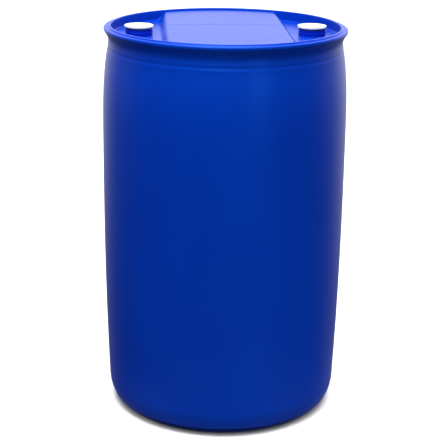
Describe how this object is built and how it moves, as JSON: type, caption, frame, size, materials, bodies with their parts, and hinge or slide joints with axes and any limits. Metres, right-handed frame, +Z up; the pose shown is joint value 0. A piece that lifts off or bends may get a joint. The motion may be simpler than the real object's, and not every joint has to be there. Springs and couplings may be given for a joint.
{
  "type": "plastic chemical drum",
  "caption": "Tall blue tight-head plastic drum with a moulded carrying ring, a raised head panel and screw bungs under plain white cap seals.",
  "frame": {"origin": "centre of the base, on the plane that the drum stands on", "axes": "+Z up along the drum's axis; the two bungs lie on X, the vented one at +X; the mould seam on the head is towards +Y"},
  "size_m": [0.5815, 0.5816, 0.935],
  "materials": {
    "drum_hdpe": "satin blow-moulded",
    "neck_hdpe": "satin injection-moulded",
    "closure_white": "satin",
    "seal_rubber": "matt"
  },
  "bodies": {
    "drum": {"drum_body": "drum_hdpe", "carrying_ring": "drum_hdpe", "drum_head": "drum_hdpe", "neck_left": "neck_hdpe", "neck_right": "neck_hdpe"},
    "seal_left": {"bung_gasket_left": "seal_rubber"},
    "bung_left": {"bung_left": "closure_white"},
    "cap_left": {"cap_seal_left": "closure_white"},
    "seal_right": {"bung_gasket_right": "seal_rubber"},
    "bung_right": {"bung_right": "closure_white"},
    "cap_right": {"cap_seal_right": "closure_white"},
    "vent_seal": {"vent_plug_gasket": "seal_rubber"},
    "vent_plug": {"vent_plug": "closure_white"}
  },
  "joints": [
    {"name": "bung_left_lift", "type": "slide", "parent": "drum", "child": "seal_left", "axis": [0, 0, 1], "range_m": [0, 0.0181]},
    {"name": "bung_left_turn", "type": "hinge", "parent": "seal_left", "child": "bung_left", "pos_m": [-0.204, 0, 0.9255], "axis": [0, 0, 1], "range_deg": [0, 1620]},
    {"name": "cap_left_lift", "type": "slide", "parent": "bung_left", "child": "cap_left", "axis": [0, 0, 1], "range_m": [0, 0.05]},
    {"name": "bung_right_lift", "type": "slide", "parent": "drum", "child": "seal_right", "axis": [0, 0, 1], "range_m": [0, 0.0181]},
    {"name": "bung_right_turn", "type": "hinge", "parent": "seal_right", "child": "bung_right", "pos_m": [0.204, 0, 0.9255], "axis": [0, 0, 1], "range_deg": [0, 1620]},
    {"name": "cap_right_lift", "type": "slide", "parent": "bung_right", "child": "cap_right", "axis": [0, 0, 1], "range_m": [0, 0.05]},
    {"name": "vent_lift", "type": "slide", "parent": "bung_right", "child": "vent_seal", "axis": [0, 0, 1], "range_m": [0, 0.0073]},
    {"name": "vent_turn", "type": "hinge", "parent": "vent_seal", "child": "vent_plug", "pos_m": [0.204, 0, 0.919], "axis": [0, 0, 1], "range_deg": [0, 1440]}
  ],
  "couplings": [
    {"joint": "bung_left_lift", "follows": "bung_left_turn", "m_per_rad": 0.00063662},
    {"joint": "bung_right_lift", "follows": "bung_right_turn", "m_per_rad": 0.00063662},
    {"joint": "vent_lift", "follows": "vent_turn", "m_per_rad": 0.00028871}
  ]
}
